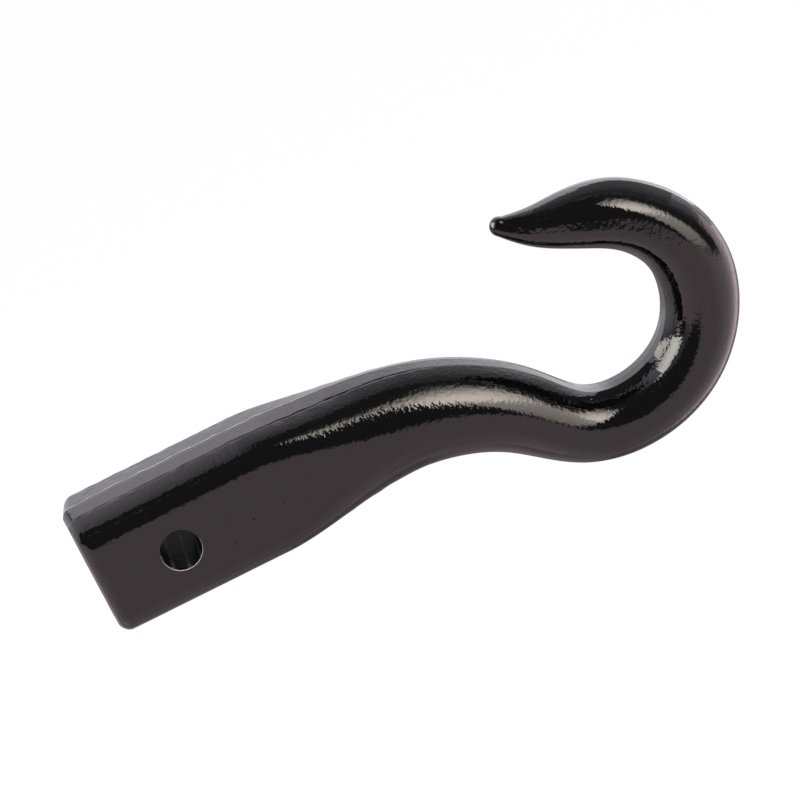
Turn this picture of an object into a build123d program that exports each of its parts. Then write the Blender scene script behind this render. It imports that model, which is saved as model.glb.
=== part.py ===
"""Recovery tow hook: a square receiver shank that runs through an arched neck into an open hook.

It is one drop forging, made in two dies that part in the middle of its width. Both halves are
drafted away from that parting plane, so a low ridge runs round the outline, and each half turns at
a crease into the rounding of its side.

X runs along the shank towards the hook, Y across the hook along the pin bore, and Z up towards the
open side of the bowl. The origin is in the middle of the pin bore. All sizes are in millimetres.
"""

import os
from math import cos, radians, sin, tan

from build123d import *

# Every section: how far the rounding's handles reach, as a share of its width and its depth
shoulder_fullness = 0.55

# Shank: a square bar that slides into a receiver tube
shank_height = 51.9
shank_width = 50.8
shank_band = 26.8
shank_flat = 29.0
shank_draft = 3.0
shank_crease = 11.0
shank_rise = 0.9
shank_behind_pin = 33.9
shank_ahead_of_pin = 33.0
shank_run_out = 4.0

# Rear end: drafted like the rest, so it comes to a low ridge at the parting plane
end_ridge = 2.4
end_rounding = 4.4
end_ridge_width = 0.2

# Pin bore: it takes a receiver pin, with a small break at each mouth
bore_radius = 8.05
bore_break = 0.2

# Throat of the neck, where the bar has left the receiver and starts to thin
throat_reach = 42.0
throat_rise = -0.2
throat_angle = -1.0
throat_height = 47.0
throat_width = 48.5
throat_band = 18.0
throat_flat = 11.0
throat_draft = 11.0
throat_crease = 8.0

# Arch of the neck, the top of the bend before it falls towards the bowl
arch_reach = 67.0
arch_rise = -2.0
arch_angle = -8.0
arch_height = 42.4
arch_width = 46.0
arch_band = 13.0
arch_flat = 1.0
arch_draft = 12.0
arch_crease = 9.0

# Fall of the neck, its steepening upper part
fall_reach = 87.0
fall_rise = -8.2
fall_angle = -24.0
fall_height = 38.6
fall_width = 43.5
fall_band = 10.8
fall_flat = 1.0
fall_draft = 10.0
fall_crease = 10.0

# Foot of the neck, its steepest part, just before the bowl
foot_reach = 108.0
foot_rise = -21.2
foot_angle = -38.0
foot_height = 33.6
foot_width = 41.0
foot_band = 9.6
foot_flat = 1.0
foot_draft = 7.0
foot_crease = 10.0

# Bowl: a round seat for the strap or shackle, in a bar that is thinnest below and swells at the back
bowl_x = 179.4
bowl_z = 3.7
bowl_inner_radius = 29.8
bowl_height = 28.7
bowl_swell = 1.6
bowl_width = 38.0
bowl_band = 9.8
bowl_flat = 3.0
bowl_draft = 3.0
bowl_crease = 11.0
bowl_start = -115.0
bowl_thinnest = -80.0
bowl_back = 0.0
bowl_end = 12.0
bowl_sections = 5

# Crown, over the bowl: the root of the beak
crown_reach = 33.5
crown_up = 26.1
crown_angle = 126.0
crown_height = 29.0
crown_width = 35.5
crown_band = 6.4
crown_flat = 4.5
crown_draft = 6.0
crown_crease = 9.0

# Brow, where the beak has turned back over the bowl
brow_reach = 20.1
brow_up = 34.8
brow_angle = 146.0
brow_height = 27.6
brow_width = 32.0
brow_band = 5.0
brow_flat = 4.0
brow_draft = 7.0
brow_crease = 7.0

# Beak, tapering fast
beak_reach = 4.6
beak_up = 39.0
beak_angle = 162.0
beak_height = 21.0
beak_width = 24.0
beak_band = 3.6
beak_flat = 3.0
beak_draft = 7.0

# Neck of the tip, behind the nub
tip_reach = -5.0
tip_up = 41.7
tip_angle = 160.0
tip_height = 15.7
tip_width = 16.5
tip_band = 2.6
tip_flat = 2.0
tip_draft = 7.0

# Nub: the small ball at the very tip, and the section that runs into its middle
nub_reach = -15.9
nub_up = 47.4
nub_angle = 143.0
nub_radius = 4.1
nub_seat = 7.9
nub_band = 1.6
nub_flat = 1.0


def across(x, z, angle):
    """Plane square to the bar at a point of its middle line, with Y to its right and inwards up."""
    turn = radians(angle)
    return Plane(origin=(x, 0, z), x_dir=(0, 1, 0), z_dir=(cos(turn), 0, sin(turn)))


def forged_section(height, width, band, flat, draft, crease_turn=0):
    """Section of the bar: a drafted band above and below, rounded off into a flat on each side.

    The rounding starts at the crease, where the skin turns down at once by crease_turn degrees.
    """
    side = width / 2
    edge = band / 2
    ridge = height / 2
    crease = ridge - edge * tan(radians(draft))
    lead = (side - edge) * shoulder_fullness
    drop = (crease - flat / 2) * shoulder_fullness
    lead_fall = lead * tan(radians(draft + crease_turn))
    with BuildSketch() as section:
        with BuildLine():
            Line((0, ridge), (edge, crease))
            Bezier(
                (edge, crease),
                (edge + lead, crease - lead_fall),
                (side, flat / 2 + drop),
                (side, flat / 2),
            )
            Line((side, flat / 2), (side, -flat / 2))
            Bezier(
                (side, -flat / 2),
                (side, -flat / 2 - drop),
                (edge + lead, lead_fall - crease),
                (edge, -crease),
            )
            Line((edge, -crease), (0, -ridge))
            mirror(about=Plane.YZ)
        make_face()
    return section.sketch


shank_section = forged_section(
    shank_height, shank_width, shank_band, shank_flat, shank_draft, shank_crease
)
end_x = -shank_behind_pin - end_ridge

with BuildPart() as hook:
    # Straight shank, from the ridge of its rear end to the start of the neck
    with BuildSketch(across(end_x, shank_rise, 0)):
        add(shank_section)
    extrude(amount=shank_ahead_of_pin - end_x)

    # Draft of the rear end, seen from above, and the rounding of its edges
    with BuildSketch(Plane.XY):
        with BuildLine():
            Polyline(
                (end_x, 0),
                (-shank_behind_pin, -shank_width / 2),
                (shank_ahead_of_pin, -shank_width / 2),
                (shank_ahead_of_pin, shank_width / 2),
                (-shank_behind_pin, shank_width / 2),
                close=True,
            )
        make_face()
    extrude(amount=shank_height, both=True, mode=Mode.INTERSECT)
    end_edges = hook.faces().group_by(Axis.X)[0].edges()
    ridge_zone = (-end_ridge_width / 2, end_ridge_width / 2)
    ridge_edges = end_edges.filter_by_position(Axis.Y, *ridge_zone)
    fillet(end_edges - ridge_edges, end_rounding)

    # Neck, bowl and beak: one smooth skin from the shank to the tip
    for reach in (0, shank_run_out):
        with BuildSketch(across(shank_ahead_of_pin + reach, shank_rise, 0)):
            add(shank_section)
    with BuildSketch(across(shank_ahead_of_pin + throat_reach, shank_rise + throat_rise, throat_angle)):
        add(
            forged_section(
                throat_height, throat_width, throat_band, throat_flat, throat_draft, throat_crease
            )
        )
    with BuildSketch(across(shank_ahead_of_pin + arch_reach, shank_rise + arch_rise, arch_angle)):
        add(forged_section(arch_height, arch_width, arch_band, arch_flat, arch_draft, arch_crease))
    with BuildSketch(across(shank_ahead_of_pin + fall_reach, shank_rise + fall_rise, fall_angle)):
        add(forged_section(fall_height, fall_width, fall_band, fall_flat, fall_draft, fall_crease))
    with BuildSketch(across(shank_ahead_of_pin + foot_reach, shank_rise + foot_rise, foot_angle)):
        add(forged_section(foot_height, foot_width, foot_band, foot_flat, foot_draft, foot_crease))
    for step in range(bowl_sections):
        place = bowl_start + (bowl_end - bowl_start) * step / (bowl_sections - 1)
        towards_back = radians(90 * (place - bowl_thinnest) / (bowl_back - bowl_thinnest))
        height = bowl_height + bowl_swell * sin(towards_back) ** 2
        middle = bowl_inner_radius + height / 2
        x = bowl_x + middle * cos(radians(place))
        z = bowl_z + middle * sin(radians(place))
        with BuildSketch(across(x, z, place + 90)):
            add(forged_section(height, bowl_width, bowl_band, bowl_flat, bowl_draft, bowl_crease))
    with BuildSketch(across(bowl_x + crown_reach, bowl_z + crown_up, crown_angle)):
        add(forged_section(crown_height, crown_width, crown_band, crown_flat, crown_draft, crown_crease))
    with BuildSketch(across(bowl_x + brow_reach, bowl_z + brow_up, brow_angle)):
        add(forged_section(brow_height, brow_width, brow_band, brow_flat, brow_draft, brow_crease))
    with BuildSketch(across(bowl_x + beak_reach, bowl_z + beak_up, beak_angle)):
        add(forged_section(beak_height, beak_width, beak_band, beak_flat, beak_draft))
    with BuildSketch(across(bowl_x + tip_reach, bowl_z + tip_up, tip_angle)):
        add(forged_section(tip_height, tip_width, tip_band, tip_flat, tip_draft))
    with BuildSketch(across(bowl_x + nub_reach, bowl_z + nub_up, nub_angle)):
        add(forged_section(nub_seat, nub_seat, nub_band, nub_flat, tip_draft))
    loft()

    # Nub: a ball on the end of the beak
    with Locations((bowl_x + nub_reach, 0, bowl_z + nub_up)):
        Sphere(nub_radius)

    # Pin bore, drilled across the shank, with its two mouths broken
    with BuildSketch(Plane.XY):
        with BuildLine():
            bore_mouth = bore_radius + bore_break
            Polyline(
                (0, 0),
                (bore_radius, 0),
                (bore_radius, shank_width / 2 - bore_break),
                (bore_mouth, shank_width / 2),
                (bore_mouth, shank_width),
                (0, shank_width),
                close=True,
            )
        make_face()
        mirror(about=Plane.XZ)
    revolve(axis=Axis.Y, mode=Mode.SUBTRACT)

hook.part.label = "hook_forging"
os.makedirs("parts", exist_ok=True)
export_step(hook.part, "parts/hook_forging.step")
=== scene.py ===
"""Recovery tow hook, photographed on white: the forging with its black paint, the table and the lamps.

Everything is in metres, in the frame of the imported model: X along the shank towards the hook, Y along
the pin bore, Z up towards the open side of the bowl, with the origin in the middle of the pin bore.
"""

import math

import bpy
import numpy as np
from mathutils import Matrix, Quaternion, Vector, noise


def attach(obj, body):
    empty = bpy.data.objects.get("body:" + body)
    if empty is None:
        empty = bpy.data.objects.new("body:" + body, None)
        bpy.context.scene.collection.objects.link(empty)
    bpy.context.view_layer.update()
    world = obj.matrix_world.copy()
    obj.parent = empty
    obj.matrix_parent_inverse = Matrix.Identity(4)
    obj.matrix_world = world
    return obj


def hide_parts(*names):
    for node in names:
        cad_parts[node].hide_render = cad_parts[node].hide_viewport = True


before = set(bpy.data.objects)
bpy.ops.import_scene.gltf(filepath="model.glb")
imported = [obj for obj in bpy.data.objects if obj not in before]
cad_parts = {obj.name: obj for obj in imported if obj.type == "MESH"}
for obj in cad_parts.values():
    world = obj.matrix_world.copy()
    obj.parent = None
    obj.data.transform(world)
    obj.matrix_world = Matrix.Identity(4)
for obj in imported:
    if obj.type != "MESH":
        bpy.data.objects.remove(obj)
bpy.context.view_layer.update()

# Camera: a long lens in front of the hook's side, a little above it. It is rolled, so the shank
# climbs to the right across the picture.
camera_data = bpy.data.cameras.new("camera")
camera_data.lens = 185.3
camera_data.sensor_width = 36.0
camera_data.clip_end = 50.0
camera = bpy.data.objects.new("camera", camera_data)
camera.location = (0.08122, -1.49475, 0.54159)
sight_line = Vector((0.01189, 0.94132, -0.33730))
camera_roll = math.radians(-26.155)
level_view = sight_line.to_track_quat("-Z", "Y")
camera.rotation_euler = (level_view @ Quaternion((0, 0, 1), camera_roll)).to_euler()
bpy.context.scene.collection.objects.link(camera)
bpy.context.scene.camera = camera

# Table: a wide sheet of white board, well below the hook, so that it shows as plain white and keeps
# only a faint shadow. What the paint mirrors of it is in the surround, further down.
table_drop = 0.26
table_half = 14.0
board_white = (0.92, 0.92, 0.92, 1.0)
board_shade_share = 0.05

table_mesh = bpy.data.meshes.new("table_board")
table_mesh.from_pydata(
    [(-table_half, -table_half, -table_drop), (table_half, -table_half, -table_drop),
     (table_half, table_half, -table_drop), (-table_half, table_half, -table_drop)],
    [], [(0, 1, 2, 3)])
table = bpy.data.objects.new("table_board", table_mesh)
bpy.context.scene.collection.objects.link(table)
table.visible_glossy = False


def plain_view_factor(nodes, links, share):
    """1 - share where the eye, a reflection or a clear body sees the surface, and 0 elsewhere."""
    path = nodes.new("ShaderNodeLightPath")
    eye_or_gloss = nodes.new("ShaderNodeMath")
    eye_or_gloss.operation = "MAXIMUM"
    links.new(path.outputs["Is Camera Ray"], eye_or_gloss.inputs[0])
    links.new(path.outputs["Is Glossy Ray"], eye_or_gloss.inputs[1])
    any_sight = nodes.new("ShaderNodeMath")
    any_sight.operation = "MAXIMUM"
    links.new(eye_or_gloss.outputs[0], any_sight.inputs[0])
    links.new(path.outputs["Is Transmission Ray"], any_sight.inputs[1])
    held_back = nodes.new("ShaderNodeMath")
    held_back.operation = "MULTIPLY"
    held_back.inputs[1].default_value = 1 - share
    links.new(any_sight.outputs[0], held_back.inputs[0])
    return held_back.outputs[0]


board = bpy.data.materials.new("white_board")
board.use_nodes = True
board_nodes = board.node_tree.nodes
board_links = board.node_tree.links
board_nodes.clear()
board_out = board_nodes.new("ShaderNodeOutputMaterial")
board_mix = board_nodes.new("ShaderNodeMixShader")
board_matt = board_nodes.new("ShaderNodeBsdfDiffuse")
board_matt.inputs["Color"].default_value = board_white
board_plain = board_nodes.new("ShaderNodeEmission")
board_plain.inputs["Color"].default_value = (1, 1, 1, 1)
board_links.new(plain_view_factor(board_nodes, board_links, board_shade_share), board_mix.inputs[0])
board_links.new(board_matt.outputs[0], board_mix.inputs[1])
board_links.new(board_plain.outputs[0], board_mix.inputs[2])
board_links.new(board_mix.outputs[0], board_out.inputs["Surface"])
table_mesh.materials.append(board)

# Room: white walls all round, plain white to the eye and a little dimmer where they only light things.
wall_light = 0.8
seen_wall_light = 1.0
room = bpy.data.worlds.new("room")
room.use_nodes = True
room_nodes = room.node_tree.nodes
room_links = room.node_tree.links
room_nodes.clear()
room_out = room_nodes.new("ShaderNodeOutputWorld")
room_mix = room_nodes.new("ShaderNodeMixShader")
room_walls = room_nodes.new("ShaderNodeBackground")
room_walls.inputs["Color"].default_value = (1, 1, 1, 1)
room_walls.inputs["Strength"].default_value = wall_light
room_seen = room_nodes.new("ShaderNodeBackground")
room_seen.inputs["Color"].default_value = (1, 1, 1, 1)
room_seen.inputs["Strength"].default_value = seen_wall_light
room_links.new(plain_view_factor(room_nodes, room_links, 0.0), room_mix.inputs[0])
room_links.new(room_walls.outputs[0], room_mix.inputs[1])
room_links.new(room_seen.outputs[0], room_mix.inputs[2])
room_links.new(room_mix.outputs[0], room_out.inputs["Surface"])
bpy.context.scene.world = room

# Surround: what the gloss paint mirrors. The white table, black cloths on the camera's side and
# overhead, a tall soft box on the right, and grey walls behind and on the left. It is one large ball
# of painted cloth, which only the paint's gloss sees.
set_middle = Vector((0.10, 0.0, 0.0))
surround_radius = 2.0
turn_steps = 240
rise_steps = 120
wrap_margin = 90
exponent_limit = 40
cloth_black = 0.11
table_tint = np.array((1.11, 0.92, 0.97))
daylight_tint = np.array((1.0, 0.96, 1.04))
right_tint = np.array((1.09, 1.0, 0.91))
left_tint = np.array((1.04, 1.02, 0.94))


def towards(turn, rise):
    """Direction from the hook: turn in degrees from the camera's side towards the hook's back, rise up."""
    turn = math.radians(turn)
    rise = math.radians(rise)
    return Vector((math.sin(turn) * math.cos(rise), -math.cos(turn) * math.cos(rise), math.sin(rise)))


def past(value, place, softness):
    """0 before the place and 1 past it, with a soft change between."""
    return 1 / (1 + np.exp(np.clip((place - value) / softness, -exponent_limit, exponent_limit)))


def hang(glow, cover, brightness, tint):
    """Surround with one more cloth or light hung in front of it, where cover is 1."""
    cover = cover[..., None]
    return glow * (1 - cover) + cover * np.asarray(brightness)[..., None] * tint


def patch_cover(turn, rise, turn_from, turn_to, rise_from, rise_to, softness):
    """Rectangular patch of the surround. A turn beyond 180 degrees goes on round the back."""
    turn = np.where(turn < turn_from - wrap_margin, turn + 360, turn)
    sideways = past(turn, turn_from, softness) * (1 - past(turn, turn_to, softness))
    return sideways * past(rise, rise_from, softness) * (1 - past(rise, rise_to, softness))


# Table, and the white wall on the left that it runs up to: its edge and its brightness, by turn, and
# how bright it is straight below
table_edge_turns = (-180, -110, -100, -52, -46, -38, -30, -22, -10, 4, 12, 20, 70, 100, 108, 140, 148, 180)
table_edge_rises = (-10, -10, 12, 12, 6, 0, -4, -8.5, -10.5, -9, -6, -8, -12, -14, 4, 4, -10, -10)
table_edge_softness = 0.9
table_glow_turns = (-180, -166, -150, -125, -100, -60, 0, 20, 50, 110, 135, 150, 180)
table_glows = (0.16, 0.35, 0.42, 0.40, 1.10, 1.10, 0.92, 1.0, 1.30, 1.45, 1.80, 0.30, 0.16)
below_rise = -72
below_softness = 4
below_glow = 0.66

# Grey walls behind the hook and left of it: from and to which turn, from and to which rise, how soft
# the edge is, and the brightness
grey_walls = (
    ((-72, -55, 10, 56, 2.0), 0.6),
    ((-150, -104, -10, 20, 3.0), 0.75),
    ((112, 138, 2, 50, 6.0), 0.7),
    ((188, 214, -10, 15, 3.0), 0.75),
    ((158, 190, -10, 20, 2.0), 0.7),
)

# Right soft box, a hot upper part over a dimmer lower one: each side's turn, how it leans out and from
# which rise on, then its foot and top, and the light of its two parts
right_box_left_side = 27
right_box_left_lean = 0.1
right_box_left_lean_from = 22
right_box_right_side = 70
right_box_right_lean = 0.42
right_box_right_lean_from = 18
right_box_lean_span = 50
right_box_left_softness = 0.7
right_box_right_softness = 2.0
right_box_foot = -8
right_box_top = 63
right_box_softness = 1.5
right_box_hot_from = 23
right_box_hot_light = 10.8
right_box_hot_turn = 40
right_box_hot_rise = 34
right_box_hot_width = 38
right_box_hot_height = 25
right_box_low_light = 2.7
right_box_low_gain = 0.07


def surround_glow(turn, rise):
    glow = np.full(turn.shape + (3,), cloth_black)
    table_edge = np.interp(turn, table_edge_turns, table_edge_rises)
    table_glow = np.interp(turn, table_glow_turns, table_glows)
    below = 1 - past(rise, below_rise, below_softness)
    table_glow = table_glow * (1 - below) + below_glow * below
    glow = hang(glow, 1 - past(rise, table_edge, table_edge_softness), table_glow, table_tint)
    for place, brightness in grey_walls:
        cover = patch_cover(turn, rise, *place)
        glow = hang(glow, cover, np.full(turn.shape, brightness), daylight_tint)

    left_lean = right_box_left_lean * np.clip(rise - right_box_left_lean_from, 0, right_box_lean_span)
    right_lean = right_box_right_lean * np.clip(rise - right_box_right_lean_from, 0, right_box_lean_span)
    cover = past(turn, right_box_left_side + left_lean, right_box_left_softness) * (
        1 - past(turn, right_box_right_side + right_lean, right_box_right_softness))
    cover = cover * past(rise, right_box_foot, right_box_softness) * (
        1 - past(rise, right_box_top, right_box_softness))
    hot = right_box_hot_light * np.exp(
        -((turn - right_box_hot_turn) / right_box_hot_width) ** 2
        - ((rise - right_box_hot_rise) / right_box_hot_height) ** 2)
    low = right_box_low_light + right_box_low_gain * rise
    upper = past(rise, right_box_hot_from, right_box_softness)
    return hang(glow, cover, low * (1 - upper) + hot * upper, right_tint)


def glowing_cloth(name, turns, rises, place_of, glow_of):
    """Curved cloth that glows by its own colours and is seen only in the gloss."""
    turn_grid, rise_grid = np.meshgrid(turns, rises)
    colours = glow_of(turn_grid, rise_grid)
    corners = [tuple(place_of(turn, rise)) for turn, rise in zip(turn_grid.ravel(), rise_grid.ravel())]
    across = len(turns)
    squares = [
        (k, k + 1, k + across + 1, k + across)
        for row in range(len(rises) - 1) for k in range(row * across, row * across + across - 1)]
    mesh = bpy.data.meshes.new(name)
    mesh.from_pydata(corners, [], squares)
    shades = mesh.attributes.new("glow", "FLOAT_COLOR", "POINT")
    rgba = np.concatenate([colours, np.ones(colours.shape[:2] + (1,))], 2)
    shades.data.foreach_set("color", rgba.ravel())
    cloth = bpy.data.materials.new(name)
    cloth.use_nodes = True
    nodes = cloth.node_tree.nodes
    nodes.clear()
    shade = nodes.new("ShaderNodeAttribute")
    shade.attribute_name = "glow"
    light = nodes.new("ShaderNodeEmission")
    out = nodes.new("ShaderNodeOutputMaterial")
    cloth.node_tree.links.new(shade.outputs["Color"], light.inputs["Color"])
    cloth.node_tree.links.new(light.outputs[0], out.inputs["Surface"])
    cloth.cycles.emission_sampling = "NONE"
    mesh.materials.append(cloth)
    hung = bpy.data.objects.new(name, mesh)
    bpy.context.scene.collection.objects.link(hung)
    hung.visible_camera = False
    hung.visible_diffuse = False
    hung.visible_shadow = False
    hung.visible_transmission = False


glowing_cloth(
    "surround", np.linspace(-180, 180, turn_steps + 1), np.linspace(-90, 90, rise_steps + 1),
    lambda turn, rise: set_middle + surround_radius * towards(turn, rise), surround_glow)

# Left soft box: on the shank's side of the bowl, hottest near its right edge. Its foot rises towards
# the back, and it ends short of the space behind the shank.
bowl_middle = Vector((0.1794, 0.0, 0.0037))
left_box_distance = 1.1
left_box_turns = np.linspace(-158, -74, 85)
left_box_rises = np.linspace(20, 66, 47)
left_box_end = -0.12
left_box_end_softness = 0.004
left_box_foot = 23
left_box_foot_softness = 0.8
left_box_foot_climb = 0.8
left_box_foot_climb_from = -141
left_box_light = 5.2
left_box_hot_light = 4.8
left_box_hot_turn = -92
left_box_hot_width = 17


def left_box_glow(turn, rise):
    off_hot = (turn - left_box_hot_turn) / left_box_hot_width
    light = left_box_light + left_box_hot_light * np.exp(-off_hot ** 2)
    x = bowl_middle.x + left_box_distance * np.sin(np.radians(turn)) * np.cos(np.radians(rise))
    foot = left_box_foot + left_box_foot_climb * np.maximum(0, left_box_foot_climb_from - turn)
    cover = past(rise, foot, left_box_foot_softness) * (1 - past(x, left_box_end, left_box_end_softness))
    return hang(np.full(turn.shape + (3,), cloth_black), cover, light, left_tint)


glowing_cloth(
    "left_box", left_box_turns, left_box_rises,
    lambda turn, rise: bowl_middle + left_box_distance * towards(turn, rise), left_box_glow)

# Small cards close to the hook, seen only in the gloss, which put painted shade and painted reflection
# into what the paint mirrors. One beside the shank's rear corner is grey behind and black towards the
# camera, a black plug sits in the bore as painted shade for its wall, and two dark fans stand in the
# hook's middle plane, one in the bowl and one over the crown and beak, so that the reflector ends at the
# crease there and the paint mirrors painted shade past it.
foot_and_top = np.array((0.0, 1.0))
corner_card_ys = np.array((-0.10, -0.019, -0.017, 0.03))
corner_card_foot = (-0.0663, 0.028)
corner_card_climb = (0.0253, 0.032)
corner_card_grey = 1.15
corner_card_change = -0.018
plug_reach = np.array((-0.0082, 0.0082))
plug_y = 0.0245

# The fans are laid out round the middle of the bowl, in degrees and millimetres
bowl_fan_reach = np.linspace(-104, -66, 20)
bowl_fan_edge = 26.6
bowl_fan_places = (-84, -70)
bowl_fan_widths = (21.0, 12.0)
crown_fan_reach = np.linspace(30, 92, 32)
crown_fan_shares = np.array((0.0, 0.4, 1.0))
crown_fan_places = (37.4, 59.0, 81.0, 92.7)
crown_fan_edges = (59.3, 56.3, 52.0, 51.5)
crown_fan_width = 24.0
crown_fan_light = 0.5
crown_fan_fall = 0.35


def in_middle_plane(place, out):
    place = math.radians(place)
    return bowl_middle + Vector((math.cos(place), 0, math.sin(place))) * float(0.001 * out)


def corner_card_place(y, up):
    return Vector((
        corner_card_foot[0] + corner_card_climb[0] * up, y, corner_card_foot[1] + corner_card_climb[1] * up))


def corner_card_glow(y, up):
    return np.where(y > corner_card_change, corner_card_grey, cloth_black)[..., None] * daylight_tint


def bowl_fan_place(place, share):
    width = np.interp(place, bowl_fan_places, bowl_fan_widths)
    return in_middle_plane(place, bowl_fan_edge - (1 - share) * width)


def crown_fan_place(place, share):
    edge = np.interp(place, crown_fan_places, crown_fan_edges)
    return in_middle_plane(place, edge + crown_fan_width * share)


def crown_fan_glow(place, share):
    return (crown_fan_light - crown_fan_fall * share)[..., None] * daylight_tint


def all_black(across, up):
    return np.full(across.shape + (3,), cloth_black)


glowing_cloth("corner_card", corner_card_ys, foot_and_top, corner_card_place, corner_card_glow)
glowing_cloth("bowl_fan", bowl_fan_reach, foot_and_top, bowl_fan_place, all_black)
glowing_cloth("crown_fan", crown_fan_reach, crown_fan_shares, crown_fan_place, crown_fan_glow)
glowing_cloth("bore_shade_plug", plug_reach, plug_reach, lambda x, z: Vector((x, plug_y, z)), all_black)

# Arched white reflector over the shank and behind the hook. It is bright up to its top over the
# shank, and past the neck only its lower part is. Its brightness is set by rise, in rows, and by the
# place along X, in columns. A slit over the shank lets dashes of light through.
arch_radius = 0.66
arch_places = (-0.24, 0.00, 0.05, 0.11, 0.22, 0.36, 0.50, 0.62, 0.78, 0.95)
arch_rises = (-10, 10, 26, 34, 44, 50, 58, 75, 97)
arch_brightness = np.array((
    (0.8, 0.8, 0.8, 0.8, 0.8, 1.3, 1.7, 1.4, 0.8, 0.7),
    (1.0, 1.0, 1.0, 0.9, 0.9, 1.9, 2.2, 1.9, 1.0, 0.8),
    (1.1, 1.1, 1.2, 1.1, 1.1, 2.4, 2.2, 1.9, 1.4, 0.8),
    (1.2, 1.2, 1.2, 1.4, 1.9, 2.5, 2.0, 1.8, 1.5, 0.7),
    (1.25, 1.15, 1.1, 1.5, 2.1, 1.8, 1.5, 1.4, 1.2, 0.5),
    (1.25, 1.0, 0.85, 1.15, 1.4, 1.2, 1.1, 1.0, 0.8, 0.3),
    (1.4, 0.95, 0.75, 0.9, 1.0, 0.9, 0.8, 0.7, 0.5, 0.2),
    (1.3, 0.9, 0.6, 0.55, 0.5, 0.4, 0.3, 0.3, 0.2, 0.11),
    (1.0, 0.6, 0.3, 0.12, 0.11, 0.11, 0.11, 0.11, 0.11, 0.11)))
over_shank_xs = np.linspace(-0.24, 0.11, 36)
over_shank_rises = np.linspace(-10, 97, 54)
behind_hook_xs = np.linspace(0.11, 0.95, 43)
behind_hook_rises = np.linspace(-10, 80, 46)
slit_xs = np.linspace(-0.11, 0.03, 85)
slit_rises = np.array((119.6, 120.4))
slit_light = 5.0
slit_waves = (210, 517)
slit_open_above = 0.9


def arch_place(x, rise):
    rise = math.radians(rise)
    return Vector((x, arch_radius * math.cos(rise), arch_radius * math.sin(rise)))


def arch_glow(x, rise):
    by_rise = np.stack([np.interp(rise, arch_rises, column) for column in arch_brightness.T], -1)
    step = np.interp(x, arch_places, np.arange(len(arch_places)))
    low = np.minimum(step.astype(int), len(arch_places) - 2)
    share = step - low
    here = np.take_along_axis(by_rise, low[..., None], -1)[..., 0]
    ahead = np.take_along_axis(by_rise, low[..., None] + 1, -1)[..., 0]
    return (here * (1 - share) + ahead * share)[..., None] * daylight_tint


def slit_glow(x, rise):
    open_here = np.sin(x * slit_waves[0]) + np.sin(x * slit_waves[1] + 1) > slit_open_above
    return np.where(open_here, slit_light, cloth_black)[..., None] * daylight_tint


glowing_cloth("arch_over_shank", over_shank_xs, over_shank_rises, arch_place, arch_glow)
glowing_cloth("arch_behind_hook", behind_hook_xs, behind_hook_rises, arch_place, arch_glow)
glowing_cloth("slit", slit_xs, slit_rises, arch_place, slit_glow)


# Lamps: three large soft boxes at a plain level, one high on the right, one on the left and one
# overhead, for everything but the gloss. Their glow is how bright their faces look, 1 being white, and
# white_power is the power of one square metre of a white face.
lamp_distance = 1.3
lamp_glow = 1.5
white_power = 4


def soft_box(name, turn, rise, width, height, tint):
    """Rectangular lamp that faces the hook."""
    data = bpy.data.lights.new(name, "AREA")
    data.shape = "RECTANGLE"
    data.size = width
    data.size_y = height
    data.energy = white_power * width * height * lamp_glow
    data.color = tint
    lamp = bpy.data.objects.new(name, data)
    where = towards(turn, rise)
    lamp.location = set_middle + lamp_distance * where
    lamp.rotation_euler = (-where).to_track_quat("-Z", "Y").to_euler()
    lamp.visible_camera = False
    lamp.visible_glossy = False
    bpy.context.scene.collection.objects.link(lamp)


soft_box("right_lamp", 48, 42, 0.98, 0.86, (1.0, 0.96, 0.90))
soft_box("left_lamp", -104, 42, 1.10, 0.86, (1.0, 0.97, 0.92))
soft_box("top_lamp", 180, 76, 1.00, 0.75, (1.0, 1.0, 1.0))

# Forging: one bar of steel, drop forged in two dies that part in the middle of its width, so a low
# ridge runs round it. It is a square shank, a neck that falls away in an arch, and a round hook.
mm = 0.001

# Where the outline's points lie: beside the ridge's line in millimetres, over the rest of the band as
# shares of it, and past the crease in millimetres. In a narrow band the first few take up no more than
# the given share of it. Then how far apart the bar's rings are.
band_beside_line = (0.0, 0.18, 0.36, 0.6, 1.0)
band_beside_most = 0.9
band_shares = (0.1, 0.24, 0.4, 0.57, 0.73, 0.86, 0.94, 0.98)
past_crease = (0.0, 0.25, 0.55, 1.1)
shoulder_step = 1.2
quarter_steps = 29
curve_steps = 60
station_gap = 1.0
shank_front = 33.0
shank_rise = 0.9
shank_back = -36.3
back_rounding = 4.4
back_ridge = 2.4
back_shares = (0.04, 0.12, 0.22, 0.32, 0.42, 0.52, 0.62, 0.72, 0.81, 0.89, 0.95)
back_turns = (90, 78, 66, 54, 42, 30, 18, 8, 0)
shoulder_fullness = 0.55

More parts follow.
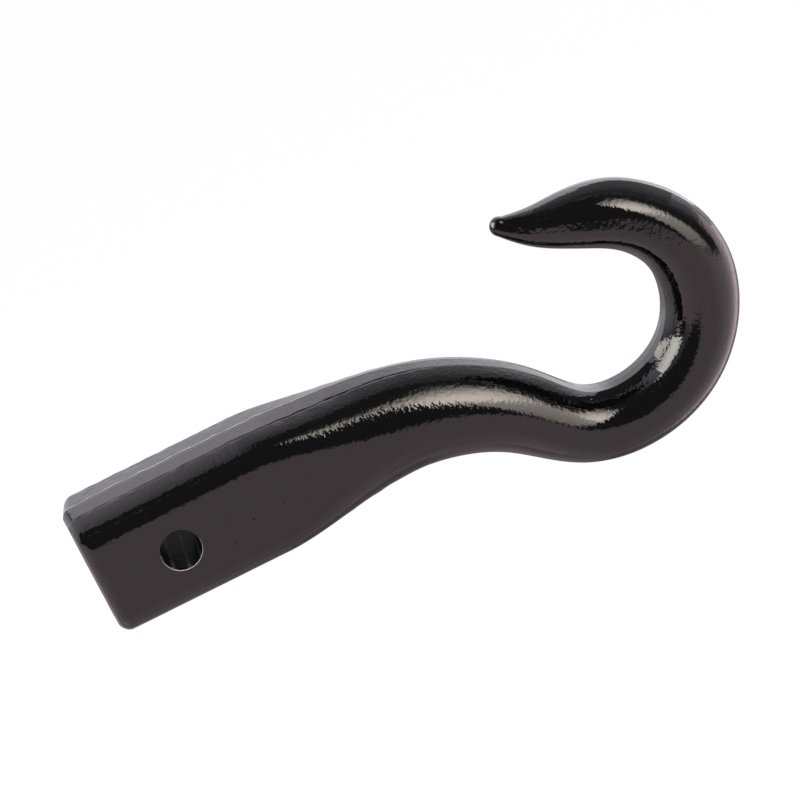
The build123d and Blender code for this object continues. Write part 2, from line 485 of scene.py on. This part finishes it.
# x, z, lean of the bar, its height and width, the band above and below, the side's flat, draft, crease
shank_form = (0, 51.9, 50.8, 26.8, 29.0, 3, 11)
neck_forms = [
    (33.0, 0.9) + shank_form,
    (37.0, 0.9) + shank_form,
    (75.0, 0.7, -1, 47.0, 48.5, 18.0, 11.0, 11, 8),
    (100.0, -1.1, -8, 42.4, 46.0, 13.0, 1.0, 12, 9),
    (120.0, -7.3, -24, 38.6, 43.5, 10.8, 1.0, 10, 10),
    (141.0, -20.3, -38, 33.6, 41.0, 9.6, 1.0, 7, 10),
]
bowl_x = 179.4
bowl_z = 3.7
bowl_inner_radius = 29.8
bowl_height = 28.7
bowl_swell = 1.6
bowl_start = -115
bowl_span = 127
bowl_thinnest = -80
bowl_sections = 5
bowl_rest = (38.0, 9.8, 3.0, 3, 11)
bowl_forms = []
for step in range(bowl_sections):
    place = math.radians(bowl_start + bowl_span * step / (bowl_sections - 1))
    towards_back = (place - math.radians(bowl_thinnest)) * 90 / -bowl_thinnest
    bar = bowl_height + bowl_swell * math.sin(towards_back) ** 2
    middle = bowl_inner_radius + bar / 2
    bowl_forms.append((
        bowl_x + middle * math.cos(place), bowl_z + middle * math.sin(place),
        math.degrees(place) + 90, bar) + bowl_rest)
beak_forms = [
    (212.9, 29.8, 126, 29.0, 35.5, 6.4, 4.5, 6, 9),
    (199.5, 38.5, 146, 27.6, 32.0, 5.0, 4.0, 7, 7),
    (184.0, 42.7, 162, 21.0, 24.0, 3.6, 3.0, 7, 0),
    (174.4, 45.4, 160, 15.7, 16.5, 2.6, 2.0, 7, 0),
    (163.5, 51.1, 143, 7.9, 7.9, 1.6, 1.0, 7, 0),
]
nub_radius = 4.1
nub_turns = (12, 24, 36, 48, 60, 71, 81)


def smooth_through(places, rows, at):
    """Smooth curve through rows of values at the given places, read off at other places."""
    gap = np.diff(places)
    count = len(places)
    system = np.zeros((count, count))
    right = np.zeros((count, rows.shape[1]))
    system[0, 0] = system[-1, -1] = 1
    for k in range(1, count - 1):
        system[k, k - 1:k + 2] = gap[k - 1], 2 * (gap[k - 1] + gap[k]), gap[k]
        right[k] = 6 * ((rows[k + 1] - rows[k]) / gap[k] - (rows[k] - rows[k - 1]) / gap[k - 1])
    bend = np.linalg.solve(system, right)
    k = np.clip(np.searchsorted(places, at) - 1, 0, count - 2)
    g = gap[k][:, None]
    a = (places[k + 1] - at)[:, None] / g
    b = 1 - a
    straight = a * rows[k] + b * rows[k + 1]
    return straight + ((a ** 3 - a) * bend[k] + (b ** 3 - b) * bend[k + 1]) * g ** 2 / 6


def quarter_outline(height, width, band, flat, draft, crease_turn):
    """Quarter of the bar's outline, across and up: from the ridge over the crease to the side's middle."""
    side = width / 2
    edge = band / 2
    ridge = height / 2
    crease = ridge - edge * math.tan(math.radians(draft))
    lead = (side - edge) * shoulder_fullness
    drop = (crease - flat / 2) * shoulder_fullness
    fall = lead * math.tan(math.radians(draft + crease_turn))
    t = np.linspace(0, 1, curve_steps)[:, None]
    handles = np.array((
        (edge, crease), (edge + lead, crease - fall), (side, flat / 2 + drop), (side, flat / 2)))
    shoulder = (
        (1 - t) ** 3 * handles[0] + 3 * t * (1 - t) ** 2 * handles[1]
        + 3 * t * t * (1 - t) * handles[2] + t ** 3 * handles[3])
    shoulder = np.vstack([shoulder, [(side, 0.0)]])
    run = np.concatenate([[0], np.cumsum(np.hypot(*np.diff(shoulder, axis=0).T))])
    first = past_crease[-1] + shoulder_step
    further = np.linspace(first, run[-1], quarter_steps - len(past_crease) + 1)[:-1]
    stops = np.concatenate([past_crease, further])
    rounded = np.stack([np.interp(stops, run, shoulder[:, i]) for i in (0, 1)], 1)
    narrowest = edge * band_beside_most * np.arange(len(band_beside_line)) / (len(band_beside_line) - 1)
    beside = np.minimum(band_beside_line, narrowest)
    across = np.concatenate([beside, beside[-1] + (edge - beside[-1]) * np.array(band_shares)])
    top = np.stack([across, ridge - (ridge - crease) * across / edge], 1)
    return np.vstack([top, rounded])


def section_ring(*form):
    """Outline of the bar, across (y) and up (z), from the upper ridge round the near side and back."""
    upper = quarter_outline(*form)
    lower = np.vstack([[(form[1] / 2, 0.0)], (upper * (1, -1))[:0:-1]])
    near = np.vstack([upper, lower])
    far = np.vstack([[(0.0, -form[0] / 2)], (near * (-1, 1))[:0:-1]])
    return np.vstack([near, far]) * (-1, 1)


# Stations: the drafted back end with its rounding, the straight shank, then the bending bar
keys = np.array(neck_forms + bowl_forms + beak_forms, dtype=float)
reach = np.concatenate([[0], np.cumsum(np.hypot(np.diff(keys[:, 0]), np.diff(keys[:, 1])))])
stations = np.linspace(0, reach[-1], round(reach[-1] / station_gap))
bar_forms = smooth_through(reach, keys, stations)

shank_ring = section_ring(*shank_form[1:])
ring_count = len(shank_ring)
along_ring = np.roll(shank_ring, -1, 0) - np.roll(shank_ring, 1, 0)
inward = np.stack([-along_ring[:, 1], along_ring[:, 0]], 1)
inward /= np.linalg.norm(inward, axis=1)[:, None]
if (inward * shank_ring).sum() > 0:
    inward = -inward

rings = []
back_draft = back_ridge / shank_ring[:, 0].max()
end_plane = shank_back + back_draft * np.abs(shank_ring[:, 0])
inset = shank_ring + inward * back_rounding
for share in back_shares:
    flat_ring = inset * share
    x = shank_back + back_draft * np.abs(flat_ring[:, 0])
    rings.append(np.stack([x, flat_ring[:, 0], flat_ring[:, 1] + shank_rise], 1))
for turn in np.radians(back_turns):
    rounded = shank_ring + inward * back_rounding * (1 - math.cos(turn))
    x = end_plane + back_rounding * (1 - math.sin(turn))
    rings.append(np.stack([x, rounded[:, 0], rounded[:, 1] + shank_rise], 1))
straight_from = rings[-1][:, 0]
straight_count = round((shank_front - straight_from.max()) / station_gap)
for step in range(1, straight_count):
    x = straight_from + (shank_front - straight_from) * step / straight_count
    rings.append(np.stack([x, shank_ring[:, 0], shank_ring[:, 1] + shank_rise], 1))
straight_rings = len(rings)
for x, z, lean, height, width, band, flat, draft, crease_turn in bar_forms:
    ring = section_ring(height, width, band, flat, draft, crease_turn)
    lean = math.radians(lean)
    rings.append(np.stack([x - ring[:, 1] * math.sin(lean), ring[:, 0], z + ring[:, 1] * math.cos(lean)], 1))
tip_x, tip_z, tip_lean = bar_forms[-1][:3]
tip_lean = math.radians(tip_lean)
tip_middle = np.array((tip_x, 0, tip_z))
tip_ahead = np.array((math.cos(tip_lean), 0, math.sin(tip_lean)))
tip_ring = rings[-1] - tip_middle
for turn in np.radians(nub_turns):
    rings.append(tip_middle + tip_ahead * nub_radius * math.sin(turn) + tip_ring * math.cos(turn))
skin = np.array(rings)

# Skin of the forging. The dies left slow waves in the steel, and trimming left a thin raised line
# along the ridge, which wanders a little. The shank's top also has a fine groove in each crease, and
# on its far half a rough, scaly strip. All of it is sunk into the shape above, and none is added to it.

# Over how many rings these marks fade at the bar's two ends, and how many rings there are left out
# when its outer side is told from the inner one
back_fade_from = 11
back_fade_rings = 9
tip_fade_to = 8
tip_fade_rings = 10
end_rings = 30

# Slow waves and fine ripples, all over
wave_height = 0.045
wave_length = 17.0
wave_bias = 0.55
ripple_height = 0.007
ripple_length = 5.5
ripple_bias = 0.7
ripple_seed = Vector((7, 3, 1))

# Raised line along the ridge, as far as the middle of the neck
line_height = 0.26
line_width = 0.32
line_foot_width = 1.3
line_end = 88
line_end_softness = 5
line_least = 0.75
line_change = 0.5
line_change_length = 4.0
line_change_seed = Vector((1, 8, 2))
line_wander = (1.3, 0.6)
line_wander_lengths = (9.0, 3.2)
line_wander_seed = Vector((3, 5, 9))

# Groove in each crease, and how far the crease itself wanders
groove_depth = 0.24
groove_width = 0.28
groove_end = 112
groove_end_softness = 8
groove_least = 0.95
groove_change = 0.8
groove_change_length = 4.0
groove_reach = 6
groove_wander = 0.7
groove_wander_width = 2.0
groove_wander_length = 5.0

# Rough, scaly strip
scale_depth = 0.13
scale_highest = 0.95
scale_length = 2.3
scale_seed = Vector((4, 4, 4))
scale_patches = 0.6
scale_patch_length = 5.0
scale_from = 1.2
scale_from_softness = 0.5
scale_end = 62
scale_end_softness = 6

# How deep the skin lies at least, how many rings reach from the shank to the bowl, and how far along
# the ridge the bare steel and its painted highlight go
least_depth = 0.02
neck_ring_count = 150
ridge_highlight_end = 80
ridge_highlight_end_softness = 6
ridge_highlight_least = 0.9
ridge_highlight_change = 0.7
ridge_highlight_change_length = 6.0
ridge_highlight_beside = 0.8


def up_to(value, place, softness):
    """1 before the place and 0 past it, with a soft change between."""
    return 1 / (1 + math.exp((value - place) / softness))


def within(value):
    return min(1.0, max(0.0, value))


normal_round = np.cross(np.roll(skin, -1, 1) - np.roll(skin, 1, 1), np.gradient(skin, axis=0))
length = np.linalg.norm(normal_round, axis=2)[..., None]
skin_normal = normal_round / np.maximum(length, 1e-9)
centre = skin.mean(1, keepdims=True)
if ((skin - centre) * skin_normal)[end_rings:-end_rings].sum() < 0:
    skin_normal = -skin_normal

station_count = len(skin)
half = ring_count // 2
quarter = half // 2
crease_at = len(band_beside_line) + len(band_shares)
lift = np.zeros((station_count, ring_count))
shift = np.zeros((station_count, ring_count))
for i in range(station_count):
    at_top = Vector(skin[i, 0])
    at_bottom = Vector(skin[i, half])
    end_fade = within((i - back_fade_from) / back_fade_rings) * within(
        (station_count - tip_fade_to - i) / tip_fade_rings)
    line_aside = [
        line_wander[0] * noise.noise(at / line_wander_lengths[0] + line_wander_seed)
        + line_wander[1] * noise.noise(at / line_wander_lengths[1])
        for at in (at_top, at_bottom)]
    line_strength = [
        line_height * (line_least + line_change * noise.noise(at / line_change_length + line_change_seed))
        for at in (at_top, at_bottom)]
    before_bowl = i < straight_rings + neck_ring_count
    scale_share = up_to(at_top[0], scale_end, scale_end_softness)
    line_share = up_to(at_top[0], line_end, line_end_softness) if before_bowl else 0.0
    groove_share = up_to(at_top[0], groove_end, groove_end_softness) if before_bowl else 0.0
    edge = abs(skin[i, crease_at][1])
    for j in range(ring_count):
        point = skin[i, j]
        at = Vector(point)
        top_side = j <= quarter or j >= ring_count - quarter
        which = 0 if top_side else 1
        from_ridge = min(j, abs(half - j), ring_count - j)
        off_ridge = abs(point[1])
        waves = wave_height * (noise.noise(at / wave_length) - wave_bias)
        ripples = ripple_height * (noise.noise(at / ripple_length + ripple_seed) - ripple_bias)
        line = math.exp(-(off_ridge / line_width) ** 2) - math.exp(-(off_ridge / line_foot_width) ** 2)
        lift[i, j] = waves + ripples + end_fade * line_share * line_strength[which] * line
        shift[i, j] = end_fade * line_share * line_aside[which] * max(0.0, 1 - off_ridge / edge)
        if from_ridge <= crease_at + groove_reach:
            off_crease = abs(off_ridge - edge)
            groove = math.exp(-(off_crease / groove_width) ** 2) * (
                groove_least + groove_change * noise.noise(at / groove_change_length))
            wander = noise.noise(at / groove_wander_length) * math.exp(
                -(off_crease / groove_wander_width) ** 2)
            lift[i, j] -= groove_depth * end_fade * groove_share * groove
            shift[i, j] += groove_wander * groove_share * wander
        if top_side and point[1] > 0:
            scale = noise.noise(at / scale_length + scale_seed) + scale_patches * noise.noise(
                at / scale_patch_length)
            rough = scale_share * (1 - up_to(point[1], scale_from, scale_from_softness))
            lift[i, j] += end_fade * rough * scale_depth * (min(scale_highest, scale) - 1)
skin = skin + skin_normal * np.minimum(lift, -least_depth)[..., None]
skin[..., 0] = np.maximum(skin[..., 0], shank_back)
skin[..., 1] += shift

# Where trimming left the ridge's crest with hardly any paint, along the shank and its end: bare steel,
# which also serves as a painted highlight on the line
ridge_bare_and_highlight = np.zeros((station_count, ring_count))
for i in range(station_count):
    for side, at in ((0, skin[i, 0]), (half, skin[i, half])):
        thin = within(ridge_highlight_least + ridge_highlight_change * noise.noise(Vector(at) / ridge_highlight_change_length))
        thin = thin * up_to(at[0], ridge_highlight_end, ridge_highlight_end_softness)
        ridge_bare_and_highlight[i, side] = thin
        ridge_bare_and_highlight[i, side - 1] = ridge_bare_and_highlight[i, side + 1] = ridge_highlight_beside * thin

points = [tuple(p * mm) for p in skin.reshape(-1, 3)]
faces = []
for i in range(station_count - 1):
    for j in range(ring_count):
        k = (j + 1) % ring_count
        here = i * ring_count
        ahead = here + ring_count
        faces.append((here + j, here + k, ahead + k, ahead + j))
back_pole = len(points)
points.append((shank_back * mm, 0, shank_rise * mm))
tip_pole = len(points)
points.append(tuple((tip_middle + tip_ahead * nub_radius) * mm))
last = (station_count - 1) * ring_count
for j in range(ring_count):
    k = (j + 1) % ring_count
    faces.append((k, j, back_pole))
    faces.append((last + j, last + k, tip_pole))
forging_mesh = bpy.data.meshes.new("hook_body")
forging_mesh.from_pydata(points, [], faces)
forging_mesh.update()
# The ridge's bare steel and painted highlight, kept on the mesh for the paint
bare = forging_mesh.attributes.new("ridge_bare_and_highlight", "FLOAT", "POINT")
bare.data.foreach_set("value", np.concatenate([ridge_bare_and_highlight.ravel(), [0.0, 0.0]]))
forging = bpy.data.objects.new("hook_body", forging_mesh)
bpy.context.scene.collection.objects.link(forging)

# Pin bore: drilled through the shank before painting, so the drill's rings still show in its wall
bore_radius = 8.05
bore_steps = 96
drill_step = 0.2
drill_step_count = 140
ring_pitch = 2.3
ring_depth = 0.12
ring_sharpness = 0.6
ring_inset = 0.05
ring_wander = 0.03
ring_wander_length = 3.0
sharp_from = 40
mouth_from = 25.1
bore_profile = []
for step in range(-drill_step_count, drill_step_count + 1):
    y = step * drill_step
    groove = ring_depth * abs(math.sin(math.pi * y / ring_pitch)) ** ring_sharpness
    wander = ring_wander * noise.noise(Vector((y / ring_wander_length, 0, 0)))
    radius = bore_radius + groove - ring_inset + wander
    mouth = max(0.0, abs(y) - mouth_from)
    bore_profile.append((y, radius + mouth))
drill_points = []
drill_faces = []
for y, radius in bore_profile:
    for step in range(bore_steps):
        turn = 2 * math.pi * step / bore_steps
        drill_points.append((radius * math.cos(turn) * mm, y * mm, radius * math.sin(turn) * mm))
for i in range(len(bore_profile) - 1):
    for j in range(bore_steps):
        k = (j + 1) % bore_steps
        here = i * bore_steps
        ahead = here + bore_steps
        drill_faces.append((here + j, ahead + j, ahead + k, here + k))
drill_faces.append(tuple(range(bore_steps)))
drill_faces.append(tuple(reversed(range(len(drill_points) - bore_steps, len(drill_points)))))
drill_mesh = bpy.data.meshes.new("drill")
drill_mesh.from_pydata(drill_points, [], drill_faces)
drill_mesh.update()
drill = bpy.data.objects.new("drill", drill_mesh)
bpy.context.scene.collection.objects.link(drill)
cut = forging.modifiers.new("pin_bore", "BOOLEAN")
cut.object = drill
cut.operation = "DIFFERENCE"
cut.solver = "EXACT"
bored = bpy.data.meshes.new_from_object(forging.evaluated_get(bpy.context.evaluated_depsgraph_get()))
forging.modifiers.clear()
forging.data = bored
bpy.data.objects.remove(drill)
for face in bored.polygons:
    face.use_smooth = True
bored.set_sharp_from_angle(angle=math.radians(sharp_from))

# Paint: thick gloss black over the scaled skin of the forging, with a fine orange peel and a few grains
# caught in it. It is thin and dull inside the bore. A bare steel colour at the bore's mouths is a painted
# highlight of their rims, and along the trimmed ridge it is bare steel and a painted highlight. Places in
# it are in metres.
paint = bpy.data.materials.new("gloss_black_paint")
paint.use_nodes = True
paint_nodes = paint.node_tree.nodes
paint_links = paint.node_tree.links
paint_shader = paint_nodes["Principled BSDF"]
paint_shader.inputs["IOR"].default_value = 1.5
mottle_scale = 60.0
mottle_detail = 3.0
mottle_roughness = 0.6
mottle_reach = (0.3, 0.7)
gloss_roughness = (0.03, 0.06)
bore_roughness = 0.30
bare_and_highlight_roughness = 0.45
darkest_black = (0.0012, 0.0012, 0.0012, 1)
lightest_black = (0.0024, 0.0022, 0.0022, 1)
bare_steel_and_highlight = (0.62, 0.61, 0.60, 1)
bore_to_skin = (0.00822, 0.00832)
mouth_rim_highlight_reach = (0.00828, 0.00836)
mouth_rim_highlight_share = 0.8
side_faces = (0.02505, 0.02515)
mouth_lower_arc_reach = (-0.0045, 0.002)
mouth_upper_arc_highlight_share = 0.12
grit_scale = 300.0
grit_reach = 0.2
grit_kept = (0.955, 0.98)
grit_height = 0.00014
peel_scale = 620.0
peel_detail = 1.0
peel_roughness = 0.5
peel_height = 0.00010
where = paint_nodes.new("ShaderNodeTexCoord")


def paint_noise(scale, detail, roughness):
    grain = paint_nodes.new("ShaderNodeTexNoise")
    grain.inputs["Scale"].default_value = scale
    grain.inputs["Detail"].default_value = detail
    grain.inputs["Roughness"].default_value = roughness
    paint_links.new(where.outputs["Object"], grain.inputs["Vector"])
    return grain.outputs["Fac"]


def graded(value, low, high, from_low, to_high):
    grade = paint_nodes.new("ShaderNodeMapRange")
    grade.inputs["From Min"].default_value = low
    grade.inputs["From Max"].default_value = high
    grade.inputs["To Min"].default_value = from_low
    grade.inputs["To Max"].default_value = to_high
    paint_links.new(value, grade.inputs["Value"])
    return grade.outputs["Result"]


def raised(height, distance, below=None):
    bump = paint_nodes.new("ShaderNodeBump")
    bump.inputs["Strength"].default_value = 1.0
    bump.inputs["Distance"].default_value = distance
    paint_links.new(height, bump.inputs["Height"])
    if below is not None:
        paint_links.new(below, bump.inputs["Normal"])
    return bump.outputs["Normal"]


# Distance from the bore's middle line, which is 0 in the bore and 1 outside it
apart = paint_nodes.new("ShaderNodeSeparateXYZ")
paint_links.new(where.outputs["Object"], apart.inputs[0])
flat_place = paint_nodes.new("ShaderNodeCombineXYZ")
paint_links.new(apart.outputs["X"], flat_place.inputs["X"])
paint_links.new(apart.outputs["Z"], flat_place.inputs["Z"])
from_bore = paint_nodes.new("ShaderNodeVectorMath")
from_bore.operation = "LENGTH"
paint_links.new(flat_place.outputs[0], from_bore.inputs[0])
outside = graded(from_bore.outputs["Value"], *bore_to_skin, 0.0, 1.0)

mottle = paint_noise(mottle_scale, mottle_detail, mottle_roughness)
roughness = graded(mottle, *mottle_reach, *gloss_roughness)
dull = paint_nodes.new("ShaderNodeMix")
dull.inputs["A"].default_value = bore_roughness
paint_links.new(outside, dull.inputs["Factor"])
paint_links.new(roughness, dull.inputs["B"])

# Bare steel colour: on the trimmed line, where it is also a painted highlight, and on the bore's mouths,
# where it is a painted highlight of the rims, strongest on the lower arc
ridge_highlight_attribute = paint_nodes.new("ShaderNodeAttribute")
ridge_highlight_attribute.attribute_name = "ridge_bare_and_highlight"
beyond_face = paint_nodes.new("ShaderNodeMath")
beyond_face.operation = "ABSOLUTE"
paint_links.new(apart.outputs["Y"], beyond_face.inputs[0])
near_face = graded(beyond_face.outputs[0], *side_faces, 0.0, 1.0)
# Painted highlight of the bore's rims: a ring of bare steel colour at each mouth, strongest on the lower
# arc, where the rim is lit
near_mouth = graded(from_bore.outputs["Value"], *mouth_rim_highlight_reach, mouth_rim_highlight_share, 0.0)
mouth = paint_nodes.new("ShaderNodeMath")
mouth.operation = "MULTIPLY"
paint_links.new(near_face, mouth.inputs[0])
paint_links.new(near_mouth, mouth.inputs[1])
lower_arc_highlight = graded(apart.outputs["Z"], *mouth_lower_arc_reach, 1.0, mouth_upper_arc_highlight_share)
mouth_rim_highlight = paint_nodes.new("ShaderNodeMath")
mouth_rim_highlight.operation = "MULTIPLY"
paint_links.new(mouth.outputs[0], mouth_rim_highlight.inputs[0])
paint_links.new(lower_arc_highlight, mouth_rim_highlight.inputs[1])
bare_and_highlight_place = paint_nodes.new("ShaderNodeMath")
bare_and_highlight_place.operation = "MAXIMUM"
paint_links.new(ridge_highlight_attribute.outputs["Fac"], bare_and_highlight_place.inputs[0])
paint_links.new(mouth_rim_highlight.outputs[0], bare_and_highlight_place.inputs[1])
worn_and_highlight_roughness = paint_nodes.new("ShaderNodeMix")
worn_and_highlight_roughness.inputs["B"].default_value = bare_and_highlight_roughness
paint_links.new(bare_and_highlight_place.outputs[0], worn_and_highlight_roughness.inputs["Factor"])
paint_links.new(dull.outputs["Result"], worn_and_highlight_roughness.inputs["A"])
paint_links.new(worn_and_highlight_roughness.outputs["Result"], paint_shader.inputs["Roughness"])

shade = paint_nodes.new("ShaderNodeMix")
shade.data_type = "RGBA"
shade.inputs["A"].default_value = darkest_black
shade.inputs["B"].default_value = lightest_black
paint_links.new(mottle, shade.inputs["Factor"])
worn_and_highlight_colour = paint_nodes.new("ShaderNodeMix")
worn_and_highlight_colour.data_type = "RGBA"
worn_and_highlight_colour.inputs["B"].default_value = bare_steel_and_highlight
paint_links.new(bare_and_highlight_place.outputs[0], worn_and_highlight_colour.inputs["Factor"])
paint_links.new(shade.outputs["Result"], worn_and_highlight_colour.inputs["A"])
paint_links.new(worn_and_highlight_colour.outputs["Result"], paint_shader.inputs["Base Color"])

grit = paint_nodes.new("ShaderNodeTexVoronoi")
grit.inputs["Scale"].default_value = grit_scale
paint_links.new(where.outputs["Object"], grit.inputs["Vector"])
grain_shape = graded(grit.outputs["Distance"], 0.0, grit_reach, 1.0, 0.0)
grit_colour = paint_nodes.new("ShaderNodeSeparateColor")
paint_links.new(grit.outputs["Color"], grit_colour.inputs[0])
kept = graded(grit_colour.outputs["Red"], *grit_kept, 0.0, 1.0)
sparse = paint_nodes.new("ShaderNodeMath")
sparse.operation = "MULTIPLY"
paint_links.new(grain_shape, sparse.inputs[0])
paint_links.new(kept, sparse.inputs[1])
coarse = raised(sparse.outputs[0], grit_height)
peel = raised(paint_noise(peel_scale, peel_detail, peel_roughness), peel_height, coarse)
paint_links.new(peel, paint_shader.inputs["Normal"])
bored.materials.clear()
bored.materials.append(paint)

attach(forging, "root")
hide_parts("hook_forging")

bpy.context.scene.view_settings.view_transform = "Standard"
